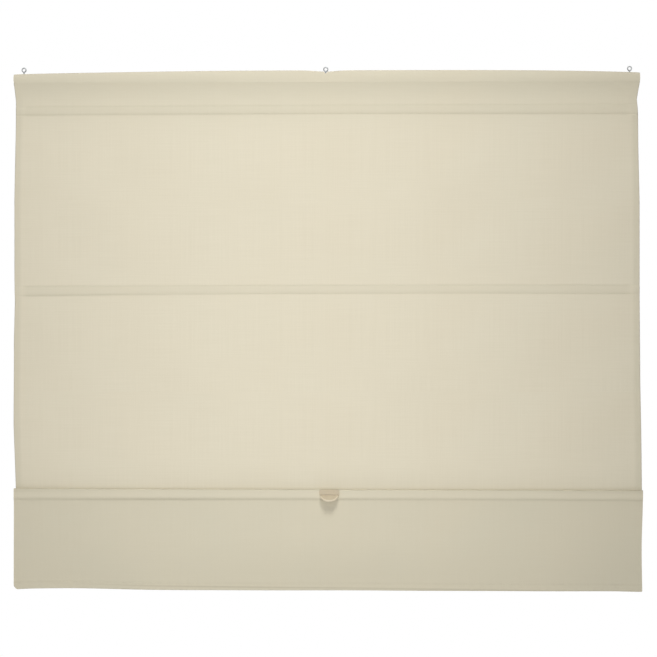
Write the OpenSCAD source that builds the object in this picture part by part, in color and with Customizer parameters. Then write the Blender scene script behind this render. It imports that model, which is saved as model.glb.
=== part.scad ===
// Cordless roman blind, let fully down.
// A cloth-faced headrail hangs from three eyes and holds a spring motor with four cord spools.
// The cloth carries two slats in back pockets and a weighted bar with a pull handle and a flap.
// X runs across the blind, Y from front to back and Z up; the origin is the centre eye's hole.

/* [Cloth] */
// Width of the cloth at the headrail
cloth_w = 1200; // [900:10:1600]
// Thickness of one layer of cloth
cloth_t = 0.8; // [0.6:0.1:1]
// Free cloth between the upper and the middle pocket
upper_panel_h = 330; // [200:5:500]
// Free cloth between the middle pocket and the bar pocket
lower_panel_h = 375; // [200:5:500]
// Flap below the bar pocket
flap_h = 174.5; // [100:0.5:250]
// Width of the turned side hems
side_hem_w = 11; // [8:0.5:15]
// Height of the hem at the flap's lower edge
flap_hem_h = 13.5; // [10:0.5:20]
// Radius of the flap's lower corners
flap_corner_r = 5; // [2:0.5:10]
// Extra width of the doubled flap
flap_extra_w = 2.5; // [0:0.5:5]
// How far the flap hangs to the right of the headrail's middle
flap_shift = 1.5; // [0:0.5:3]
// How far the cloth draws in at each side below the headrail
waist = 4.3; // [0:0.1:6]
// How far the top edge arches above its ends
top_arch = 5.5; // [0:0.5:6]
// How far the top edge dips at the centre eye
eye_dip = 2.4; // [0:0.1:3]
// How far the hanging cloth lies behind the face of the headrail
set_back = 5; // [2:0.5:6]
// Height over which the cloth eases back below the headrail
fall_h = 34; // [25:1:45]
// Plain cloth between that ease and the upper pocket
settle_h = 9; // [5:1:20]
// Depth of a row of stitching in the cloth
stitch_depth = 0.25; // [0.1:0.05:0.3]
// Height of a row of stitching
stitch_h = 1; // [0.5:0.1:1.5]

/* [Headrail] */
// Depth of the rail from front to back
rail_d = 30; // [30:1:40]
// Height of the rail
rail_h = 20; // [20:1:26]
// Sheet thickness of the rail
rail_wall = 1; // [0.8:0.1:1.2]
// Width of the inturned lips
rail_lip = 5; // [4:0.5:6]
// Bend radius on the outside of the rail
rail_bend_r = 1.5; // [1.3:0.1:2.5]
// Thickness of each end cap's plate
end_cap_t = 2; // [1.5:0.5:3]
// How far an end cap reaches into the rail
end_plug_l = 8; // [5:1:12]
// Thickness of the hook tape and of the loop tape
grip_tape_t = 1; // [0.8:0.1:1.4]
// Height of the hook and loop tapes
grip_tape_h = 14; // [10:1:14]

/* [Hanging eyes] */
// Radius of the eye's wire circle
eye_r = 3.75; // [3.5:0.05:4.5]
// Radius of the eye's wire
eye_wire_r = 1.2; // [1.1:0.05:1.3]
// Radius of the worked hole in the eye
eye_bore_r = 2.7; // [2.6:0.05:2.8]
// Radius of the eye's shank
eye_shank_r = 1.5; // [1.2:0.1:1.8]
// Distance from the eye's centre down to the top of the rail
eye_rise = 9.5; // [9:0.5:12]
// Distance of the outer eyes from the ends of the cloth
eye_inset = 20; // [15:1:40]
// Height of the nut under the rail's web
nut_h = 2.4; // [2:0.1:3]
// Width across the flats of the nut
nut_af = 5.5; // [5:0.5:6]

/* [Lift mechanism] */
// Distance of the outer spools from the ends of the cloth
column_inset = 120; // [90:5:150]
// Radius of the spool's barrel
spool_r = 5.5; // [4.5:0.1:5.8]
// Radius of the spool's flanges
spool_flange_r = 7.3; // [6.5:0.1:7.4]
// Length of the spool between its flanges
spool_l = 18; // [14:1:24]
// Thickness of the spool's flanges
flange_t = 1.2; // [1:0.1:1.5]
// Radius of the spool and drum journals
journal_r = 3.6; // [3.4:0.1:3.8]
// Width across the flats of the lift shaft
shaft_af = 5; // [4:0.5:5]
// Thickness of the cradle's and the motor's moulded walls
moulded_wall = 1.6; // [1.2:0.1:1.8]
// Length of the spring motor along the rail
motor_l = 24; // [20:1:40]
// Radius of the output drum's barrel
output_r = 4; // [3.9:0.1:4.2]
// Radius of the output drum's flanges
output_flange_r = 6; // [5.8:0.1:6.1]
// Radius of the storage drum's barrel
storage_r = 3.2; // [3:0.1:3.4]
// Radius of the storage drum's flanges
storage_flange_r = 5.2; // [4.8:0.1:5.2]
// Radius of the storage drum's axle
storage_axle_r = 1.5; // [1.2:0.1:1.6]
// Thickness of the strip between the drums
strip_t = 0.3; // [0.2:0.05:0.4]

/* [Slats and bar] */
// Thickness of the slats
slat_t = 1.6; // [1.2:0.1:2]
// Height of the slats
slat_h = 10.4; // [8:0.1:10.4]
// Wall of the moulded tips on the slats and the bar
tip_wall = 0.5; // [0.4:0.1:0.8]
// Length of a moulded tip
tip_l = 14; // [10:1:20]
// Distance between the two rows of stitching of a slat pocket
pocket_h = 15; // [15:0.5:20]
// Thickness of the bottom bar
bar_t = 3; // [2:0.5:4]
// Height of the bottom bar
bar_h = 14; // [12:0.5:16]
// Radius of the guide rings for the lift cords
guide_r = 4; // [3.5:0.1:5]
// Radius of the wire of the guide rings
guide_wire_r = 1; // [0.8:0.1:1.2]
// Radius of the cord anchors
anchor_r = 4; // [3:0.5:6]

/* [Handle] */
// Width of the handle
handle_w = 38; // [34:1:50]
// Height of the handle's plate
handle_plate_h = 13; // [12:0.5:15]
// Thickness of the handle's plate and lip
handle_t = 2.2; // [2:0.1:3]
// How far the top of the handle's face stands in front of its groove
face_proud = 1.8; // [1:0.1:2.5]
// Distance from the handle's top down to its groove
groove_drop = 9.8; // [9:0.1:10.5]
// Length of the groove
groove_l = 31; // [26:1:32]
// Depth of the groove
groove_d = 1; // [0.6:0.1:1.2]
// Radius of the groove's round ends
groove_r = 1.5; // [1:0.1:1.6]
// Radius of the half-round lip
lip_r = 18; // [16:0.5:18.5]
// Angle of the lip below the horizontal
lip_droop = 33; // [25:1:40]
// Radius of the bead along the lip's edge
bead_r = 1.7; // [1.4:0.1:1.8]
// How far the handle sits to the right of the headrail's middle
handle_x = 7; // [-10:1:10]
// Distance between the handle's two screws
handle_screw_gap = 26; // [20:1:28]
// Radius of the handle's screws
screw_r = 1.5; // [1.2:0.1:1.5]

/* [Fits] */
// Radial clearance of running fits
running_gap = 0.05; // [0.03:0.01:0.08]
// Clearance of pieces that slip into each other
slip_gap = 0.2; // [0.15:0.05:0.25]
// Clearance round a piece that only passes through a hole
pass_gap = 0.3; // [0.2:0.05:0.4]

/* [Hidden] */
$fn = 48;

// Headrail
rail_top = -eye_rise;
rail_bottom = rail_top - rail_h;
rail_front = -9;
rail_back = rail_front + rail_d;
rail_mid_y = (rail_front + rail_back) / 2;
rail_inset = 2;
rail_l = cloth_w - 2 * (rail_inset + end_cap_t);
lip_top = rail_bottom + rail_wall;
web_under = rail_top - rail_wall;
room_d = rail_d - 2 * rail_wall;
eye_x = cloth_w / 2 - eye_inset;
grip_clear = 3.5;
grip_tape_bottom = rail_bottom + grip_clear;

// Cloth planes, from back to front
head_back = rail_front - 2 * grip_tape_t;
head_front = head_back - 2 * cloth_t;
panel_front = head_front + set_back;
panel_back = panel_front + cloth_t;
flap_back = panel_front;

// Heights of the pockets
leave_z = grip_tape_bottom;
settle_z = leave_z - fall_h;
upper_z = settle_z - settle_h - pocket_h / 2;
middle_z = upper_z - pocket_h - upper_panel_h;
bar_cap_h = bar_h + 2 * tip_wall;
bar_stitch_gap = 1.5;
bar_pocket_h = bar_cap_h + 2 * slip_gap + 2 * cloth_t + bar_stitch_gap;
bar_z = middle_z - pocket_h / 2 - lower_panel_h - bar_pocket_h / 2;
bar_stitch_z = bar_z - bar_pocket_h / 2;
flap_bottom = bar_stitch_z - flap_h;
seam_allowance = 3;
panel_end = bar_stitch_z - seam_allowance;

// Slat pockets
tip_t = slat_t + 2 * tip_wall;
tip_h = slat_h + 2 * tip_wall;
pocket_room_t = tip_t + 2 * slip_gap;
pocket_room_h = tip_h + 2 * slip_gap;
tape_lip = 2;
slat_y = panel_back + slip_gap + tip_t / 2;
tape_back = panel_back + pocket_room_t + cloth_t;
tape_inset = 3;
tape_l = cloth_w - 2 * (waist + side_hem_w + tape_inset);
tip_nose = 3;
slat_end_gap = 4;
slat_l = tape_l - 2 * (tip_nose + slat_end_gap);
tip_grip = tip_l - tip_nose;

// Bar pocket
bar_cap_t = bar_t + 2 * tip_wall;
bar_room_t = bar_cap_t + 2 * slip_gap;
bar_y = flap_back - cloth_t - bar_room_t / 2;
bar_end_gap = 12;
bar_l = cloth_w - 2 * (tip_nose + bar_end_gap);
pocket_front = flap_back - 2 * cloth_t - bar_room_t;
flap_front = flap_back - 2 * cloth_t;
flap_w = cloth_w + flap_extra_w;

// Lift mechanism
column_x = cloth_w / 2 - column_inset;
columns = [-column_x, -column_x / 3, column_x / 3, column_x];
motor_x = column_x * 2 / 3;
cradle_t = 1.5;
shaft_offset = 5.5;
shaft_y = rail_mid_y - shaft_offset;
shaft_z = lip_top + cradle_t + spool_flange_r + pass_gap;
shaft_end = 12;
shaft_l = 2 * column_x + spool_l + 2 * shaft_end;
hub_l = spool_l + 2 * flange_t;
journal_l = moulded_wall + 0.6;
cradle_l = hub_l + 2 * journal_l + 4;
hex_play = 0.05;
drum_gap = 0.6;
storage_y = shaft_y + output_flange_r + storage_flange_r + drum_gap;
motor_d = room_d - 2 * slip_gap - 0.4;
motor_cover_t = 1.2;
motor_top = web_under - 0.5 - motor_cover_t;
motor_room_l = motor_l - 2 * moulded_wall;
drum_l = motor_room_l - 0.6;
drum_flange_t = 1;
strip_w = drum_l - 2 * drum_flange_t - 0.6;
coil_gap = 0.3;
output_coil_r = output_r + 1.4;
storage_coil_r = storage_r + 1;

// Handle
handle_top = bar_z + bar_pocket_h / 2;
handle_bottom = handle_top - handle_plate_h;
handle_front = pocket_front - handle_t;
handle_screw_z = handle_top - handle_plate_h / 2;
groove_h = 1.2;
groove_z = handle_top - groove_drop;
lip_root_y = handle_front - 0.2;
lip_root_z = groove_z - groove_h / 2 - handle_t / 2 * cos(lip_droop);
lip_overlap = 1.2;
bead_turn = 3;
boss_r = 2.6;
back_plate_t = 1.5;
screw_head_r = 2.6;
screw_head_h = 1.4;
screw_reach = 1.6;

// A rectangle with rounded corners, centred on the origin
module round_rect(w, h, r) {
    square([w, h - 2 * r], center = true);
    square([w - 2 * r, h], center = true);
    for (x = [-1, 1], y = [-1, 1])
        translate([x * (w / 2 - r), y * (h / 2 - r)])
            circle(r);
}

// Sweeps a section drawn in Y and Z along X, centred
module along_x(l) {
    translate([-l / 2, 0, 0])
        rotate([90, 0, 90])
            linear_extrude(l)
                children();
}

// Sweeps an outline drawn in X and Z back from y_front to y_back
module along_y(y_front, y_back) {
    translate([0, y_back, 0])
        rotate([90, 0, 0])
            linear_extrude(y_back - y_front)
                children();
}

// A cylinder along X, centred at x
module rod_x(r, l, x = 0, sides = $fn) {
    translate([x - l / 2, 0, 0])
        rotate([0, 90, 0])
            cylinder(r = r, h = l, $fn = sides);
}

// A cylinder along Y from y_front to y_back
module rod_y(r, y_front, y_back) {
    translate([0, y_back, 0])
        rotate([90, 0, 0])
            cylinder(r = r, h = y_back - y_front);
}

// Radius of the corners of a hexagon from its width across the flats
function hex_r(af) = af / sqrt(3);

// Front face of the hanging cloth: it leaves the rail at a crease and eases back to the panels
function fall(u) = panel_front - set_back * (1 - u) * (1 - u);

// Upper edge of the cloth: arched between the ends and drawn down at the centre eye
function top_edge(x) =
    rail_top + 1.2
    + top_arch * (1 - pow(abs(2 * x / cloth_w), 4))
    - eye_dip * exp(-pow(x / 26, 2));

// Half the width of the cloth at each height
function side_line(inset) = [
    [cloth_w / 2 - inset, leave_z],
    [cloth_w / 2 - waist - inset, settle_z],
    [cloth_w / 2 - waist - inset, upper_z - pocket_h / 2],
    [cloth_w / 2 - waist / 4 - inset, middle_z + upper_panel_h / 2],
    [cloth_w / 2 - waist / 2 - inset, middle_z],
    [cloth_w / 2 - inset, middle_z - lower_panel_h / 2],
    [cloth_w / 2 - waist / 4 - inset, panel_end]
];

fall_steps = 12;
top_steps = 60;

module cloth_outline(inset) {
    side = side_line(inset);
    half = cloth_w / 2 - inset;
    top = [for (i = [0 : top_steps]) half - 2 * half * i / top_steps];
    polygon(concat(
        [for (i = [len(side) - 1 : -1 : 0]) side[i]],
        [for (x = top) [x, top_edge(x) - (abs(x) > half - 0.1 ? 2 : 0)]],
        [for (p = side) [-p[0], p[1]]]
    ));
}

// Section of one layer: flat on the rail, falling back below it, then straight down
module cloth_section(top_z) {
    face = concat(
        [[head_front, top_z]],
        [for (i = [0 : fall_steps]) [fall(i / fall_steps), leave_z - fall_h * i / fall_steps]],
        [[panel_front, panel_end]]
    );
    polygon(concat(
        face,
        [for (i = [len(face) - 1 : -1 : 0]) [face[i][0] + cloth_t, face[i][1]]]
    ));
}

// A row of stitching pressed into a front face
module stitch_row(l, z, y_face) {
    translate([-l / 2, y_face - 1, z - stitch_h / 2])
        cube([l, 1 + stitch_depth, stitch_h]);
}

// Places for the two handle screws
module at_handle_screws() {
    for (side = [-1, 1])
        translate([handle_x + side * handle_screw_gap / 2, 0, handle_screw_z])
            children();
}

// Places for the four cord anchors
module at_anchors() {
    for (x = columns)
        translate([x, 0, bar_z])
            children();
}

module shade_cloth() {
    color("#E3DCC5")
        difference() {
            intersection() {
                union() {
                    along_x(2 * cloth_w)
                        cloth_section(0);
                    translate([0, head_back, 0])
                        along_y(-cloth_t, 0)
                            translate([-cloth_w, leave_z])
                                square([2 * cloth_w, -leave_z]);
                    difference() {
                        translate([0, cloth_t, 0])
                            along_x(2 * cloth_w)
                                cloth_section(leave_z);
                        along_y(head_front - 5, panel_back + 5)
                            cloth_outline(side_hem_w);
                    }
                }
                along_y(head_front - 5, panel_back + 5)
                    cloth_outline(0);
            }
            for (z = [upper_z, middle_z], side = [-1, 1])
                stitch_row(tape_l, z + side * pocket_h / 2, panel_front);
            at_handle_screws()
                rod_y(screw_r + pass_gap, panel_front - 1, panel_back + 2);
            at_anchors()
                rod_y(screw_r + pass_gap, panel_front - 1, panel_back + 2);
        }
}

module rail_section() {
    difference() {
        translate([rail_mid_y, (rail_top + rail_bottom) / 2])
            round_rect(rail_d, rail_h, rail_bend_r);
        translate([rail_front + rail_wall, lip_top])
            square([room_d, rail_h - 2 * rail_wall]);
        translate([rail_front + rail_wall + rail_lip, rail_bottom - 1])
            square([room_d - 2 * rail_lip, rail_wall + 2]);
    }
}

module headrail() {
    color("#E8E6E0")
        difference() {
            along_x(rail_l)
                rail_section();
            for (x = [-eye_x, 0, eye_x])
                translate([x, 0, web_under - 1])
                    cylinder(r = eye_shank_r + slip_gap, h = rail_wall + 2);
        }
}

// A flanged cap with a hollow plug, its outer face towards +X
module end_cap() {
    plug_d = room_d - 2 * slip_gap;
    plug_h = rail_h - 2 * rail_wall - 2 * slip_gap;
    color("#DCDAD3")
        translate([rail_l / 2, rail_mid_y, (rail_top + rail_bottom) / 2])
            difference() {
                union() {
                    translate([end_cap_t / 2, 0, 0])
                        along_x(end_cap_t)
                            round_rect(rail_d, rail_h, rail_bend_r);
                    translate([-end_plug_l / 2, 0, 0])
                        along_x(end_plug_l)
                            round_rect(plug_d, plug_h, 1);
                }
                translate([-end_plug_l / 2 - 1, 0, 0])
                    along_x(end_plug_l)
                        round_rect(plug_d - 2 * moulded_wall, plug_h - 2 * moulded_wall, 1);
            }
}

module end_cap_left() {
    mirror([1, 0, 0])
        end_cap();
}

module end_cap_right() {
    end_cap();
}

// An eye bolt: a wire ring with a worked hole, a collar on the rail and a shank through its web
module hanging_eye(x) {
    collar_h = 0.8;
    color("#A9ABAC")
        translate([x, 0, 0])
            difference() {
                union() {
                    rotate([90, 0, 0])
                        rotate_extrude()
                            translate([eye_r, 0])
                                circle(eye_wire_r);
                    translate([0, 0, web_under - nut_h - 0.8])
                        cylinder(r = eye_shank_r, h = nut_h + 0.8 + rail_wall + eye_rise - eye_r);
                    translate([0, 0, rail_top])
                        cylinder(r = 2 * eye_shank_r, h = collar_h);
                }
                rod_y(eye_bore_r, -4, 4);
            }
}

module hanging_eye_left() {
    hanging_eye(-eye_x);
}

module hanging_eye_centre() {
    hanging_eye(0);
}

module hanging_eye_right() {
    hanging_eye(eye_x);
}

module eye_nuts() {
    color("#B4B5B5")
        for (x = [-eye_x, 0, eye_x])
            translate([x, 0, web_under - nut_h])
                difference() {
                    cylinder(r = hex_r(nut_af), h = nut_h, $fn = 6);
                    translate([0, 0, -1])
                        cylinder(r = eye_shank_r + running_gap, h = nut_h + 2);
                }
}

// A strip of grip tape in front of the rail
module grip_tape(y_back) {
    translate([-rail_l / 2, y_back - grip_tape_t, grip_tape_bottom])
        cube([rail_l, grip_tape_t, grip_tape_h]);
}

module hook_tape() {
    color("#EDEBE4")
        grip_tape(rail_front);
}

module loop_tape() {
    color("#E4DFD0")
        grip_tape(rail_front - grip_tape_t);
}

// A saddle on the rail's lips with two snap bearings and a slot for the cord
module spool_cradle(x) {
    cheek_d = 2 * journal_r + 6;
    cheek_x = hub_l / 2 + 0.4 + moulded_wall / 2;
    color("#F0EFEA")
        translate([x, 0, 0])
            difference() {
                union() {
                    translate([0, rail_mid_y, lip_top])
                        linear_extrude(cradle_t)
                            round_rect(cradle_l, room_d - 2 * slip_gap, 2);
                    for (side = [-1, 1])
                        translate([side * cheek_x, 0, 0])
                            along_x(moulded_wall) {
                                translate([shaft_y, shaft_z])
                                    circle(cheek_d / 2);
                                translate([shaft_y - cheek_d / 2, lip_top])
                                    square([cheek_d, shaft_z - lip_top]);
                            }
                }
                translate([0, shaft_y, shaft_z])
                    rod_x(journal_r + running_gap, cradle_l);
                translate([-cradle_l / 2, shaft_y - 0.9 * journal_r, shaft_z])
                    cube([cradle_l, 1.8 * journal_r, rail_h]);
                translate([-cradle_l / 2 - 1, shaft_y - cheek_d, shaft_z + 0.6 * journal_r])
                    cube([cradle_l + 2, 2 * cheek_d, rail_h]);
                translate([0, shaft_y, lip_top - 1])
                    linear_extrude(cradle_t + 2)
                        round_rect(spool_l - 4, 2 * spool_r + 2, 1.5);
            }
}

module spool_cradle_1() {
    spool_cradle(columns[0]);
}

module spool_cradle_2() {
    spool_cradle(columns[1]);
}

module spool_cradle_3() {
    spool_cradle(columns[2]);
}

module spool_cradle_4() {
    spool_cradle(columns[3]);
}

// A hexagonal hole along X for the lift shaft
module shaft_hole(l) {
    rod_x(hex_r(shaft_af) + hex_play, l, sides = 6);
}

module cord_spool(x) {
    color("#D8D6CF")
        translate([x, shaft_y, shaft_z])
            difference() {
                union() {
                    rod_x(spool_r, hub_l);
                    for (side = [-1, 1])
                        rod_x(spool_flange_r, flange_t, side * (spool_l + flange_t) / 2);
                    rod_x(journal_r, hub_l + 2 * journal_l);
                }
                shaft_hole(hub_l + 2 * journal_l + 2);
                translate([spool_l / 2 - 1.5, 0, 0])
                    cylinder(r = 0.6, h = spool_flange_r);
            }
}

module cord_spool_1() {
    cord_spool(columns[0]);
}

module cord_spool_2() {
    cord_spool(columns[1]);
}

module cord_spool_3() {
    cord_spool(columns[2]);
}

module cord_spool_4() {
    cord_spool(columns[3]);
}

module lift_shaft() {
    color("#9C9EA0")
        translate([0, shaft_y, shaft_z])
            rod_x(hex_r(shaft_af), shaft_l, sides = 6);
}

// A bearing slot through the motor's end walls, open at the top
module motor_slot(y, r) {
    translate([0, y, shaft_z])
        rod_x(r, motor_l + 2);
    translate([-motor_l / 2 - 1, y - r, shaft_z])
        cube([motor_l + 2, 2 * r, rail_h]);
}

module motor_housing() {
    color("#DEDCD5")
        translate([motor_x, 0, 0])
            difference() {
                translate([0, rail_mid_y, lip_top])
                    linear_extrude(motor_top - lip_top)
                        round_rect(motor_l, motor_d, 1.2);
                translate([0, rail_mid_y, lip_top + moulded_wall])
                    linear_extrude(rail_h)
                        square([motor_room_l, motor_d - 2 * moulded_wall], center = true);
                motor_slot(shaft_y, journal_r + running_gap);
                motor_slot(storage_y, storage_axle_r + running_gap);
            }
}

module motor_cover() {
    color("#D2D0C8")
        translate([motor_x, rail_mid_y, motor_top])
            linear_extrude(motor_cover_t)
                round_rect(motor_l, motor_d, 1.2);
}

// A drum of the spring motor: a barrel between two flanges
module drum(r, flange_r) {
    rod_x(r, drum_l);
    for (side = [-1, 1])
        rod_x(flange_r, drum_flange_t, side * (drum_l - drum_flange_t) / 2);
}

module output_drum() {
    color("#C9C7BF")
        translate([motor_x, shaft_y, shaft_z])
            difference() {
                union() {
                    drum(output_r, output_flange_r);
                    rod_x(journal_r, motor_l);
                }
                shaft_hole(motor_l + 2);
            }
}

module storage_drum() {
    color("#C9C7BF")
        translate([motor_x, storage_y, shaft_z])
            difference() {
                drum(storage_r, storage_flange_r);
                rod_x(storage_axle_r + running_gap, motor_l);
            }
}

module storage_axle() {
    color("#9C9EA0")
        translate([motor_x, storage_y, shaft_z])
            rod_x(storage_axle_r, motor_l);
}

// The spring strip: turns round each drum and the crossing run between them
module mainspring() {
    reach_o = output_coil_r - strip_t / 2;
    reach_s = storage_coil_r - strip_t / 2;
    span = storage_y - shaft_y;
    lean = acos((reach_o + reach_s) / span);
    run = span * sin(lean);
    color("#8B8F94")
        translate([motor_x, 0, 0])
            along_x(strip_w) {
                translate([shaft_y, shaft_z])
                    difference() {
                        circle(output_coil_r);
                        circle(output_r + coil_gap);
                    }
                translate([storage_y, shaft_z])
                    difference() {
                        circle(storage_coil_r);
                        circle(storage_r + coil_gap);
                    }
                translate([shaft_y + reach_o * cos(lean), shaft_z + reach_o * sin(lean)])
                    rotate(lean - 90)
                        translate([0, -strip_t / 2])
                            square([run, strip_t]);
            }
}

// A tape sewn to the back of the cloth, raised over the slat
module pocket_tape(z) {
    bulge_d = pocket_room_t + cloth_t;
    bulge_h = pocket_room_h + 2 * cloth_t;
    color("#DED7C0")
        along_x(tape_l)
            translate([panel_back, z])
                difference() {
                    union() {
                        intersection() {
                            round_rect(2 * bulge_d, bulge_h, 1.6);
                            translate([0, -bulge_h])
                                square([bulge_d, 2 * bulge_h]);
                        }
                        translate([0, -pocket_h / 2 - tape_lip])
                            square([cloth_t, pocket_h + 2 * tape_lip]);
                    }
                    translate([-1, -pocket_room_h / 2])
                        square([pocket_room_t + 1, pocket_room_h]);
                }
}

module upper_pocket_tape() {
    pocket_tape(upper_z);
}

module middle_pocket_tape() {
    pocket_tape(middle_z);
}

module slat(z) {
    color("#F2F0EA")
        translate([-slat_l / 2, slat_y - slat_t / 2, z - slat_h / 2])
            cube([slat_l, slat_t, slat_h]);
}

module upper_slat() {
    slat(upper_z);
}

module middle_slat() {
    slat(middle_z);
}

// A rounded moulded tip over the end of a strip, at +X of x
module strip_tip(x, y, z, strip_h, strip_d) {
    corner_r = strip_h / 4;
    translate([x - tip_grip + tip_l / 2, 0, z])
        difference() {
            along_y(y - strip_d / 2 - tip_wall, y + strip_d / 2 + tip_wall)
                round_rect(tip_l, strip_h + 2 * tip_wall, corner_r);
            translate([-tip_l / 2 - 1, y - strip_d / 2 - running_gap, -strip_h / 2 - running_gap])
                cube([tip_grip + 1, strip_d + 2 * running_gap, strip_h + 2 * running_gap]);
        }
}

// Both tips of one slat
module slat_tips(z) {
    color("#E6E3DA")
        for (side = [0, 1])
            mirror([side, 0, 0])
                strip_tip(slat_l / 2, slat_y, z, slat_h, slat_t);
}

module upper_slat_tips() {
    slat_tips(upper_z);
}

module middle_slat_tips() {
    slat_tips(middle_z);
}

// Sewn-on rings for the lift cords, one behind each column
module cord_guides(z) {
    foot_t = 1;
    foot_w = 8;
    color("#EFEDE6")
        for (x = columns)
            translate([x, tape_back, z]) {
                along_y(0, foot_t)
                    round_rect(foot_w, foot_w, 1.5);
                translate([0, foot_t + guide_r + 0.4 * guide_wire_r, 0])
                    rotate_extrude()
                        translate([guide_r, 0])
                            circle(guide_wire_r);
            }
}

module upper_cord_guides() {
    cord_guides(upper_z);
}

module middle_cord_guides() {
    cord_guides(middle_z);
}

module bottom_bar() {
    color("#E9E7E1")
        difference() {
            translate([-bar_l / 2, bar_y - bar_t / 2, bar_z - bar_h / 2])
                cube([bar_l, bar_t, bar_h]);
            at_handle_screws()
                rod_y(screw_r + slip_gap, bar_y - bar_t, bar_y + bar_t);
            at_anchors()
                rod_y(screw_r + slip_gap, bar_y - bar_t, bar_y + bar_t);
        }
}

module bar_end_cap_right() {
    color("#DAD7CE")
        strip_tip(bar_l / 2, bar_y, bar_z, bar_h, bar_t);
}

module bar_end_cap_left() {
    mirror([1, 0, 0])
        bar_end_cap_right();
}

// Section of the doubled flap with the bar pocket in its folded top
module flap_section() {
    room_h = bar_cap_h + 2 * slip_gap;
    fold_d = flap_back - pocket_front;
    fold_h = room_h + 2 * cloth_t;
    difference() {
        union() {
            translate([flap_back - fold_d / 2, bar_z])
                round_rect(fold_d, fold_h, fold_d / 3);
            translate([flap_front, flap_bottom])
                square([flap_back - flap_front, bar_z - flap_bottom]);
        }
        translate([bar_y - bar_room_t / 2, bar_z - room_h / 2])
            square([bar_room_t, room_h]);
    }
}

module flap_outline() {
    top = bar_z + bar_pocket_h;
    h = top - flap_bottom;
    translate([0, flap_bottom + h / 2])
        round_rect(flap_w, h, flap_corner_r);
}

module bottom_flap() {
    color("#D6D0BA")
        difference() {
            translate([flap_shift, 0, 0])
                difference() {
                    intersection() {
                        along_x(2 * cloth_w)
                            flap_section();
                        along_y(pocket_front - 5, flap_back + 5)
                            flap_outline();
                    }
                    stitch_row(flap_w - 2 * side_hem_w, bar_stitch_z, flap_front);
                    stitch_row(flap_w - 2 * side_hem_w, flap_bottom + flap_hem_h, flap_front);
                }
            at_handle_screws() {
                rod_y(boss_r + pass_gap, pocket_front - 1, bar_y);
                rod_y(screw_r + pass_gap, bar_y, flap_back + 1);
            }
            at_anchors()
                rod_y(screw_r + pass_gap, bar_y, flap_back + 1);
        }
}

// The handle's plate, with a face that slopes back from its top to the groove
module handle_plate() {
    plate_corner_r = 3.5;
    intersection() {
        translate([handle_x, 0, handle_top - handle_plate_h / 2])
            along_y(handle_front - face_proud, pocket_front)
                round_rect(handle_w, handle_plate_h, plate_corner_r);
        translate([handle_x - handle_w / 2, 0, 0])
            rotate([90, 0, 90])
                linear_extrude(handle_w)
                    polygon([
                        [pocket_front, handle_top],
                        [handle_front - face_proud, handle_top],
                        [handle_front, groove_z],
                        [handle_front, handle_bottom],
                        [pocket_front, handle_bottom]
                    ]);
    }
}

// The handle's lip: a half-round tongue that droops forward, with a bead along its edge
module handle_lip() {
    edge_r = lip_r - bead_r;
    translate([handle_x, lip_root_y, lip_root_z])
        rotate([lip_droop, 0, 0]) {
            intersection() {
                cylinder(r = edge_r, h = handle_t, center = true);
                translate([-lip_r, -lip_r, -handle_t])
                    cube([2 * lip_r, lip_r + lip_overlap, 2 * handle_t]);
            }
            rotate([0, 0, 180 - bead_turn])
                rotate_extrude(angle = 180 + 2 * bead_turn)
                    translate([edge_r, 0])
                        circle(bead_r);
        }
}

// The pull: a plate on the bar pocket, a groove across it and a lip to hold below that
module handle() {
    color("#C8B99C")
        difference() {
            union() {
                handle_plate();
                handle_lip();
                at_handle_screws()
                    rod_y(boss_r, handle_front + 0.5, bar_y - bar_t / 2);
            }
            at_handle_screws()
                rod_y(screw_r + running_gap, pocket_front - screw_reach, bar_y);
            translate([handle_x - groove_l / 2, handle_front - face_proud, groove_z - groove_h / 2])
                cube([groove_l, face_proud + groove_d, groove_h]);
            for (side = [-1, 1])
                translate([handle_x + side * groove_l / 2, 0, groove_z])
                    rod_y(groove_r, handle_front - face_proud, handle_front + groove_d);
        }
}

module handle_back_plate() {
    color("#D9D3C2")
        difference() {
            translate([handle_x, 0, handle_screw_z])
                along_y(panel_back, panel_back + back_plate_t)
                    round_rect(handle_w, handle_plate_h, 2);
            at_handle_screws()
                rod_y(screw_r + slip_gap, panel_back - 1, panel_back + back_plate_t + 1);
        }
}

module handle_screws() {
    head_y = panel_back + back_plate_t;
    color("#B4B5B5")
        at_handle_screws()
            difference() {
                union() {
                    rod_y(screw_r, pocket_front - screw_reach, head_y);
                    rod_y(screw_head_r, head_y, head_y + screw_head_h);
                }
                translate([-0.4, head_y + screw_head_h / 2, -screw_head_r])
                    cube([0.8, screw_head_h, 2 * screw_head_r]);
            }
}

// Buttons on the back of the bar with a loop for the end of each lift cord
module cord_anchors() {
    loop_r = 2.4;
    wire_r = 0.8;
    disc_t = 1.5;
    color("#EFEDE6")
        at_anchors() {
            rod_y(screw_r, bar_y, panel_back + disc_t);
            rod_y(anchor_r, panel_back, panel_back + disc_t);
            translate([0, panel_back + disc_t - 0.3, 0])
                rotate_extrude(angle = 180)
                    translate([loop_r, 0])
                        circle(wire_r);
        }
}

headrail();
end_cap_left();
end_cap_right();
hanging_eye_left();
hanging_eye_centre();
hanging_eye_right();
eye_nuts();
hook_tape();
loop_tape();
spool_cradle_1();
spool_cradle_2();
spool_cradle_3();
spool_cradle_4();
cord_spool_1();
cord_spool_2();
cord_spool_3();
cord_spool_4();
lift_shaft();
motor_housing();
motor_cover();
output_drum();
storage_drum();
storage_axle();
mainspring();
shade_cloth();
upper_pocket_tape();
upper_slat();
upper_slat_tips();
upper_cord_guides();
middle_pocket_tape();
middle_slat();
middle_slat_tips();
middle_cord_guides();
bottom_bar();
bar_end_cap_left();
bar_end_cap_right();
bottom_flap();
handle();
handle_back_plate();
handle_screws();
cord_anchors();
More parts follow.
